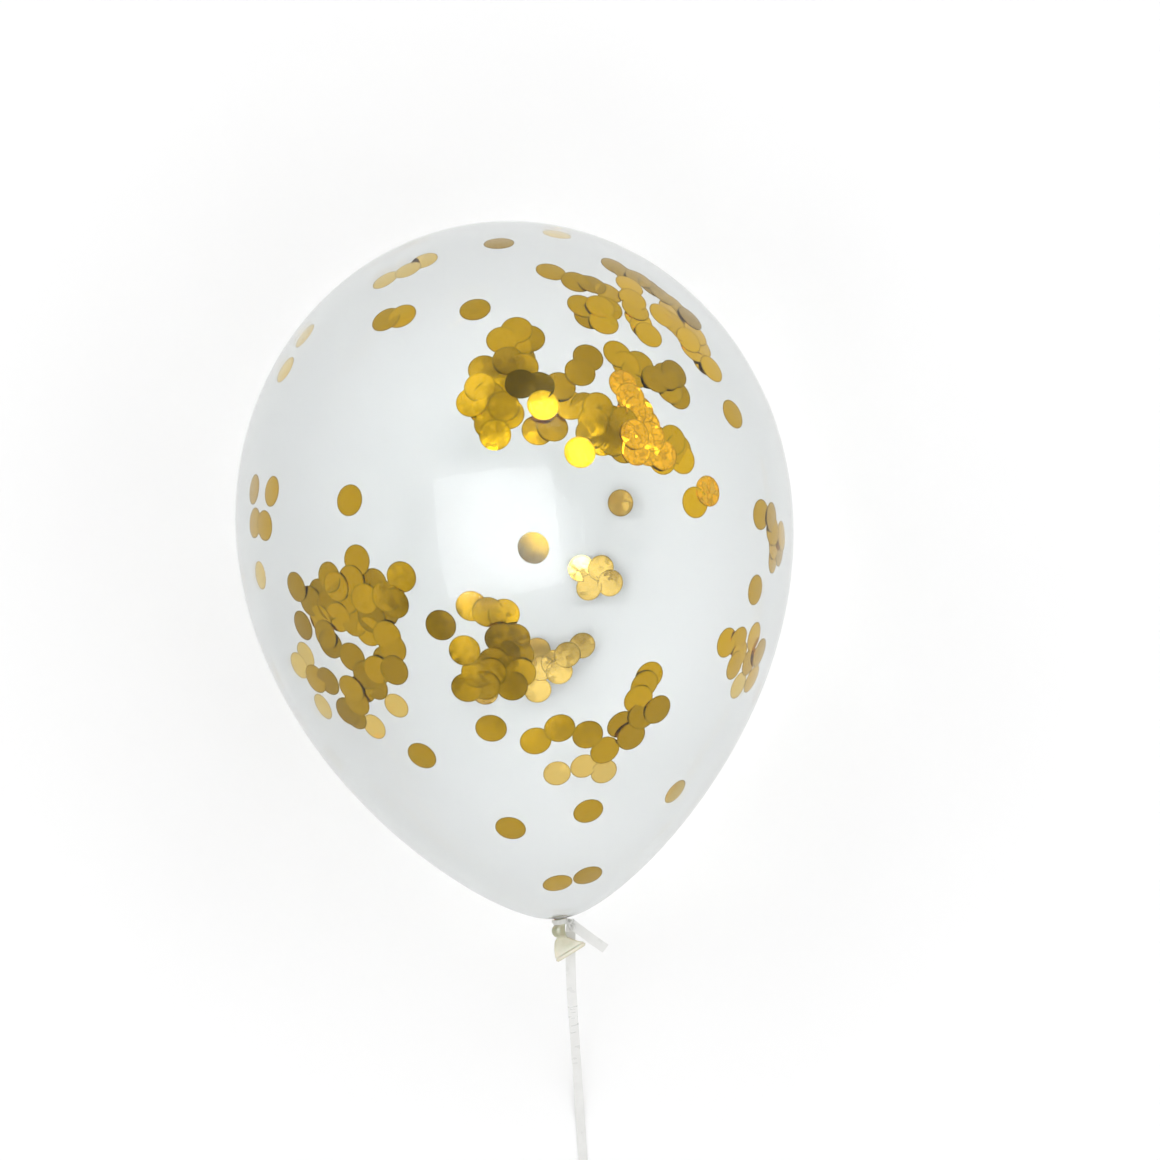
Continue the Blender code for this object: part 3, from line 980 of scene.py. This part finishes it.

# %% [markdown]
# The discs could be scattered at random, but then no heap would be where it is in the photograph.
# So where they lie is read off it, in millimetres right of the axis and towards the crown, in the
# plane through the axis. A ray from the camera through such a spot meets the film at the disc's true
# place.

# %% Places of the confetti
# Each group is a heap or a string of discs.
CROWN_RIM = (
    (8, 143), (-8, 111), (33, 126), (66, 125), (71, 121), (77, 117), (83, 112), (88, 108),
    (93, 103), (98, 98), (101, 94),
)
CROWN_STRING = ((45, 119), (53, 117), (61, 112), (47, 107), (50, 101), (56, 105), (57, 97), (60, 104))
PALE_STRING = ((72, 114), (73, 107), (74, 102), (75, 97), (77, 92), (79, 88))
RIGHT_SHOULDER = (
    (87, 97), (92, 93), (92, 99), (96, 88), (100, 92), (99, 83), (103, 86), (105, 80), (101, 78),
    (106, 71), (109, 67),
)
MIDDLE_RIGHT = (
    (62, 80), (66, 74), (70, 69), (73, 74), (76, 68), (80, 65), (86, 66), (90, 67), (87, 59),
    (91, 56),
)
TOP_HEAP = (
    (12, 98), (18, 93), (4, 94), (11, 90), (12, 84), (6, 83), (13, 79), (-7, 80), (2, 79),
    (-3, 73),
)
TOP_HEAP_FOOT = ((-10, 71), (-15, 64), (-6, 66), (1, 68), (-9, 60), (1, 60), (-5, 46), (-7, 52), (3, 56))
DARK_PAIR = ((11, 70), (20, 68))
CHAIN_START = ((17, 46), (25, 47))
CHAIN = (
    (31, 67), (42, 73), (47, 80), (35, 57), (43, 55), (49, 54), (46, 47), (44, 41), (49, 37),
    (56, 47), (61, 45), (55, 36), (60, 32),
)
CRUMPLED_BAND = (
    (63, 64), (66, 57), (70, 50), (66, 50), (73, 43), (66, 38), (74, 36), (66, 30), (72, 29),
    (79, 33), (79, 26), (100, 5),
)
BAND_END = ((85, 33), (88, 28), (89, 23), (79, 24), (118, 43), (93, 0))
RIGHT_EDGE = (
    (131, -12), (131, -19), (131, -26), (130, -33), (134, -30), (135, -22), (126, -10), (119, -48),
)
BRIGHT = ((21, 58), (37, 32))
IN_WINDOW = ((8, -14),)
GOLDEN = ((-61, -21),)
MIDDLE_TOP = ((-27, -40), (-19, -44), (-11, -46))
MIDDLE_DARK = ((-14, -58), (-7, -59), (-13, -67), (-6, -68))
MIDDLE_HEAP = (
    (-33, -62), (-28, -74), (-21, -75), (-12, -75), (-19, -70), (-34, -81), (-25, -81),
    (-11, -83), (-6, -77), (-44, -48), (-24, -103),
)
LEFT_HEAP = (
    (-115, -20), (-98, -17), (-83, -10), (-76, -23), (-104, -25), (-95, -22), (-87, -20),
    (-109, -28), (-100, -31), (-91, -29), (-81, -30), (-114, -40), (-105, -38), (-96, -38),
    (-88, -41), (-103, -46), (-101, -51), (-79, -40), (-81, -47), (-72, -38), (-70, -30),
    (-66, -34), (-72, -50), (-70, -57), (-74, -63), (-70, -68), (-79, -67), (-85, -69),
    (-81, -75), (-88, -76), (-93, -75), (-91, -82), (-91, -59), (-111, -68), (-105, -70),
    (-96, -86), (-93, -89),
)
SINGLES = (
    (-83, 21), (-61, -113), (-20, -155), (21, -151), (1, -186), (17, -183), (-54, 111), (-46, 112),
)
ARC = (
    (-2, -112), (11, -107), (25, -112), (33, -121), (43, -109), (47, -115), (54, -105), (53, -97),
    (57, -90), (60, -86), (62, -103),
)
RIGHT_HEAP = (
    (101, -73), (107, -73), (107, -80), (112, -84), (116, -72), (117, -80), (104, -85), (112, -93),
)
LEFT_EDGE = ((-122, 30), (-131, 32), (-128, 13), (-133, 15))

# These lie on the far side of the balloon and look paler through the film, so their colour gets a
# painted haze.
FAR_MIDDLE = ((4, -66), (5, -75), (12, -73), (14, -78), (19, -70), (2, -86), (27, -66), (-25, -84))
FAR_RIGHT = ((31, -27), (41, -28), (34, -37), (45, -36), (55, 4), (66, -145))
FAR_LOW = ((7, -129), (21, -127), (31, -131))
FAR_LEFT = (
    (-83, -95), (-108, -82), (-114, -55), (-118, -60), (-71, -86), (-132, -12), (-96, 107),
    (-108, 91), (-52, 131), (-40, 135), (-31, 138),
)
FAR_SHOULDER = ((104, -95), (38, 144))
print("largest heap:", len(LEFT_HEAP), "discs")

# %% From a spot in the picture to the film
SPOT_MARGIN = 0.2 * MM
SPOT_SHRINK = 0.99


def inside(point):
    """How far a point is inside the film, measured square to the axis."""
    return body_radius(point.y) - hypot(point.x, point.z - AXIS_HEIGHT)


def on_skin(right, crownward, far):
    """Where the camera's ray through a spot of the axis plane meets the film, near or far side."""
    spot = Vector((right * MM, crownward * MM, AXIS_HEIGHT))
    while inside(spot) < SPOT_MARGIN:
        spot.x *= SPOT_SHRINK
        spot.y *= SPOT_SHRINK
    ray = (EYE - spot).normalized() * (-1 if far else 1)
    return spot + ray * last_where(lambda reach: inside(spot + ray * reach) > 0, 0.0, 2 * BODY_RADIUS)


def skin_normal(point):
    """The way that the film faces at a point on it."""
    slope = (body_radius(point.y + MM) - body_radius(point.y - MM)) / (2 * MM)
    radius = hypot(point.x, point.z - AXIS_HEIGHT)
    return Vector((point.x / radius, -slope, (point.z - AXIS_HEIGHT) / radius)).normalized()


print(f"film over the axis: {1000 * on_skin(0, 0, far=False).z:.0f} mm up")

# %% Discs on the skin
DISC_RADIUS = 7.5 * MM
FIRST_LAYER = WALL + 0.35 * MM
LAYER_STEP = 0.22 * MM
LAYERS = 5
REFLECTION_SPREAD = 0.17
REFLECTION_SEED = 11
CRUMPLE_DEPTH = 0.9 * MM
CRUMPLE_ROOM = 0.4
chance = random.Random(REFLECTION_SEED)
discs = []


def lay_discs(places, tone, crumple=0.1, faded=0.0, far=False, under=1, loose=1.0, lean=(0.0, 0.0)):
    """Adds a group of discs, each a layer deeper than the one before it, in turns.

    The second argument is a painted reflection in the disc's gold, from 0, brown, to 1, bright.
    under is how many layers of room are left over the group.
    loose is how much each disc leans its own way, and lean turns the whole group."""
    for i, (right, crownward) in enumerate(places):
        point = on_skin(right, crownward, far)
        normal = skin_normal(point)
        depth = FIRST_LAYER + LAYER_STEP * (under + i % LAYERS) + CRUMPLE_DEPTH * CRUMPLE_ROOM * crumple
        place = point - normal * (depth + DISC_RADIUS * hypot(*lean))
        place.z = max(place.z, depth)
        facing = (normal + Vector((*lean, 0.0))).normalized()
        # Each disc's painted reflection: its group's brightness of gold, spread at random.
        shade = min(max(tone + chance.uniform(-REFLECTION_SPREAD, REFLECTION_SPREAD), 0.0), 1.0)
        discs.append({
            "place": place, "facing": facing, "tone": shade,
            "crumple": crumple, "faded": faded, "loose": loose,
        })


# Each group with the painted reflection it is given, from brown to bright gold.
for group, tone in (
    (CROWN_RIM, 0.5), (CROWN_STRING, 0.6), (PALE_STRING, 1.0), (RIGHT_SHOULDER, 1.05),
    (MIDDLE_RIGHT, 0.5), (TOP_HEAP, 0.5), (TOP_HEAP_FOOT, 1.0), (CHAIN, 0.5), (BAND_END, 0.8),
    (RIGHT_EDGE, 0.8), (MIDDLE_HEAP, 0.45), (LEFT_HEAP, 0.4), (SINGLES, 0.6), (ARC, 0.55),
    (RIGHT_HEAP, 0.85), (LEFT_EDGE, 0.6), (GOLDEN, 1.2),
):
    lay_discs(group, tone, under=4)
lay_discs(CHAIN_START, 0.4, under=3, lean=(0.12, 0.08))
lay_discs(MIDDLE_TOP, 0.9, under=2, lean=(0.0, -0.12))
lay_discs(MIDDLE_DARK, 0.15, under=4, lean=(0.0, -0.08))
lay_discs(DARK_PAIR, 0.15, crumple=0.0)
lay_discs(CRUMPLED_BAND, 1.0, crumple=1.0, under=0)
lay_discs(BRIGHT, 1.2, crumple=0.0, under=0, loose=0.0)
lay_discs(IN_WINDOW, 0.0, crumple=0.0, loose=0.0, lean=(-0.315, -0.1))
for group in (FAR_MIDDLE, FAR_RIGHT, FAR_LOW, FAR_LEFT, FAR_SHOULDER):
    lay_discs(group, 0.9, faded=0.5, far=True)
print("discs:", len(discs))

# %% The confetti
DISC_THICKNESS = 0.1 * MM
DISC_LEAN = 0.06
CRUMPLE_SCALE = 230.0
CONFETTI_SHARP_ANGLE = radians(40)


def make_confetti():
    """The discs as one mesh."""
    points = bpy.data.meshes.new("confetti_places")
    points.from_pydata([disc["place"] for disc in discs], [], [])
    layer = points.attributes.new("facing", "FLOAT_VECTOR", "POINT")
    for item, disc in zip(layer.data, discs):
        item.vector = disc["facing"]
    for name in ("tone", "crumple", "faded", "loose"):
        layer = points.attributes.new(name, "FLOAT", "POINT")
        for item, disc in zip(layer.data, discs):
            item.value = disc[name]
    mesh = grown(points, CONFETTI_TREE, {
        "Radius": DISC_RADIUS,
        "Thickness": DISC_THICKNESS,
        "Bow Radius": BODY_RADIUS,
        "Lean": DISC_LEAN,
        "Crumple Depth": CRUMPLE_DEPTH,
        "Crumple Scale": CRUMPLE_SCALE,
    })
    # The discs bring an empty material slot along, so the slots are filled anew.
    mesh.materials.clear()
    mesh.shade_smooth()
    mesh.set_sharp_from_angle(angle=CONFETTI_SHARP_ANGLE)
    return add_object("confetti", mesh, FOIL)


confetti = make_confetti()
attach(confetti, "root")
print("confetti:", len(confetti.data.polygons), "faces")

# %% [markdown]
# ## Floor and light
#
# The photograph's ground is plain white, so the floor is a pale sheet. The room is as bright as the
# floor up to well over the horizon. Overhead it has brighter and dimmer patches, and the foil
# mirrors them as different golds.
#
# The window is a large lamp that the film mirrors as a soft white patch. Two small lamps hang where
# the camera sees them mirrored in a disc that lies flat on the film, which makes that disc flash.
# All three shine on the film and the confetti alone, and only as mirror images, so the floor stays
# even.

# %% Floor
FLOOR_SIZE = 12.0
FLOOR_DROP = 0.2 * MM


# Paper white without shine. To the eye it is an even ground with a soft grey shadow on it.
def make_floor_material():
    """Matt white paper."""
    material, tree = new_material("matt_white_paper")
    shader = add_node(tree, "ShaderNodeBsdfPrincipled", {
        "Base Color": colour("#F8F8F8"), "Roughness": 0.9, "Specular IOR Level": 0.1,
    })
    add_node(tree, "ShaderNodeOutputMaterial", {"Surface": shader})
    return material


floor_bm = bmesh.new()
bmesh.ops.create_grid(floor_bm, x_segments=1, y_segments=1, size=FLOOR_SIZE / 2)
floor_mesh = bpy.data.meshes.new("floor")
floor_bm.to_mesh(floor_mesh)
floor_bm.free()
floor = add_object("floor", floor_mesh, make_floor_material())
floor.location.z = -FLOOR_DROP
print(f"floor {FLOOR_SIZE:.0f} m wide")

# %% Lamps
LAMP_DISTANCE = 1.8
WINDOW_PLACE = (-9, -2)
WINDOW_SIZE = (1.68, 1.35)
WINDOW_STRENGTH = 9.0
SPARK_PLACES = ((21, 53), (37, 32))
SPARK_SIZE = (0.32, 0.32)
SPARK_STRENGTH = 4.0


def mirrored(right, crownward):
    """A place in the room that the camera sees mirrored in this spot of the film's near side."""
    point = on_skin(right, crownward, far=False)
    return point - (EYE - point).normalized().reflect(skin_normal(point)) * LAMP_DISTANCE


def add_lamp(name, spot, size, strength):
    """A soft lamp that shows only as a mirror image, in the film and the confetti.

    spot is where the film mirrors it, and strength is the brightness of its surface."""
    data = bpy.data.lights.new(name, "AREA")
    data.shape = "RECTANGLE"
    data.size, data.size_y = size
    data.energy = strength * pi * size[0] * size[1]
    lamp = bpy.data.objects.new(name, data)
    lamp.location = mirrored(*spot)
    back = (lamp.location - Vector((0.0, 0.0, AXIS_HEIGHT))).normalized()
    side = Vector((0, 1, 0)).cross(back).normalized()
    lamp.rotation_euler = Matrix((side, back.cross(side), back)).transposed().to_euler()
    lamp.visible_diffuse = False
    bpy.context.scene.collection.objects.link(lamp)
    receivers = bpy.data.collections.new(name + "_receivers")
    receivers.objects.link(skin)
    receivers.objects.link(confetti)
    lamp.light_linking.receiver_collection = receivers
    return lamp


window = add_lamp("window", WINDOW_PLACE, WINDOW_SIZE, WINDOW_STRENGTH)
for i, spot in enumerate(SPARK_PLACES):
    add_lamp(f"spark_{i}", spot, SPARK_SIZE, SPARK_STRENGTH)
print(f"window {window.location.z:.2f} m up")

# %% The room
WALL_BRIGHTNESS = 1.15
PATCH_SCALE = 4.0
PATCH_BRIGHTNESS = (0.56, 1.8)
PATCH_HEIGHTS = (0.35, 0.6)


def make_room():
    """A world of even brightness, with brighter and dimmer patches overhead."""
    world = bpy.data.worlds.new("studio")
    world.use_nodes = True
    tree = world.node_tree
    tree.nodes.clear()
    way = add_node(tree, "ShaderNodeTexCoord").outputs["Generated"]
    patches = add_node(tree, "ShaderNodeTexNoise", {
        "Vector": way, "Scale": PATCH_SCALE, "Detail": 0.0,
    })
    bright = add_node(tree, "ShaderNodeMapRange", {
        "Value": patches, **NOISE_SPAN, "To Min": PATCH_BRIGHTNESS[0], "To Max": PATCH_BRIGHTNESS[1],
    })
    height = add_node(tree, "ShaderNodeSeparateXYZ", {"Vector": way}).outputs["Z"]
    overhead = add_node(tree, "ShaderNodeMapRange", {
        "Value": height, "From Min": PATCH_HEIGHTS[0], "From Max": PATCH_HEIGHTS[1],
    })
    strength = add_node(tree, "ShaderNodeMix", {
        "Factor": overhead, "A": WALL_BRIGHTNESS, "B": bright,
    })
    sky = add_node(tree, "ShaderNodeBackground", {"Color": colour("#FFFFFF"), "Strength": strength})
    add_node(tree, "ShaderNodeOutputWorld", {"Surface": sky})
    return world


bpy.context.scene.world = make_room()
bpy.context.scene.view_settings.view_transform = "Standard"
print("patches of", PATCH_BRIGHTNESS, "over walls of", WALL_BRIGHTNESS)
